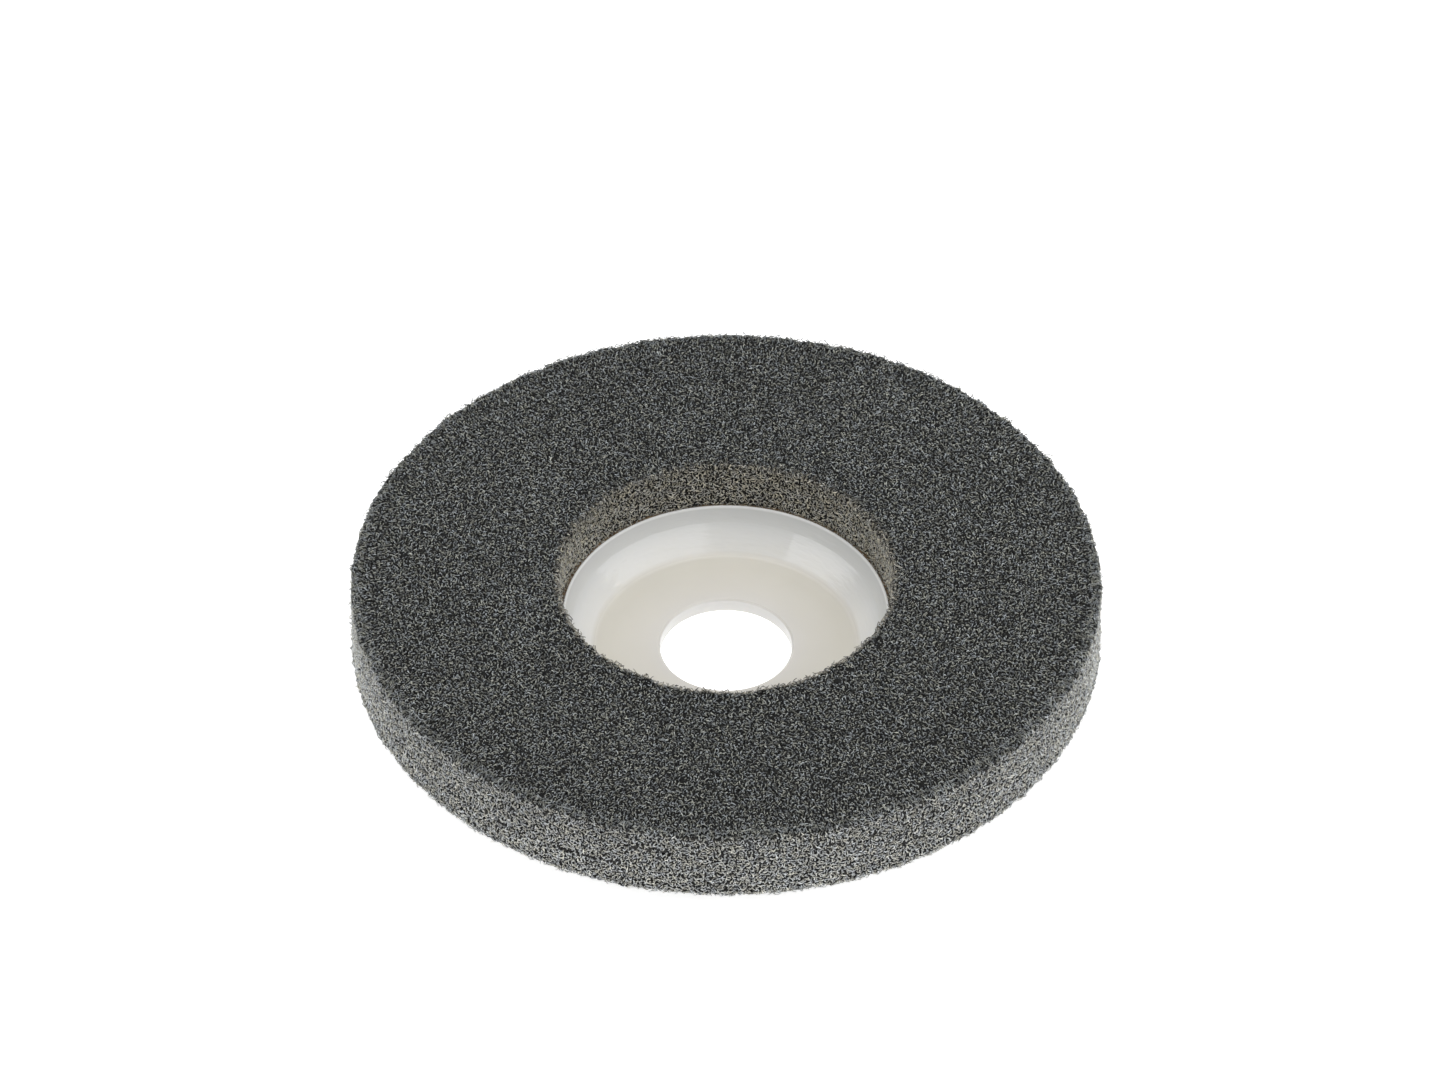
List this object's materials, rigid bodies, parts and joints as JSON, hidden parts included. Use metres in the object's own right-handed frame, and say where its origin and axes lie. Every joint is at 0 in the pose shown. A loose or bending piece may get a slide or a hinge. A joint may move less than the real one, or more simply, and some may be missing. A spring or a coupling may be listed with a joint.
{
  "type": "polishing wheel",
  "caption": "Flat grey polishing wheel of pressed fibre web on a white moulded hub with a recessed centre and a plain arbor bore.",
  "frame": {"origin": "centre of the arbor bore, at the hub's rear clamping face", "axes": "+Z along the axis of rotation, towards the working face; the wheel is the same all the way round, so X and Y are any two directions across it"},
  "size_m": [0.125, 0.125, 0.0181],
  "materials": {
    "fibre_web": "matte",
    "cured_resin": "matte",
    "nylon": "satin",
    "adhesive": "satin"
  },
  "bodies": {
    "root": {"face_ply": "fibre_web", "core_ply": "fibre_web", "back_ply": "fibre_web", "upper_bond": "cured_resin", "lower_bond": "cured_resin", "hub": "nylon", "flange_adhesive": "adhesive", "collar_adhesive": "adhesive"}
  },
  "joints": []
}
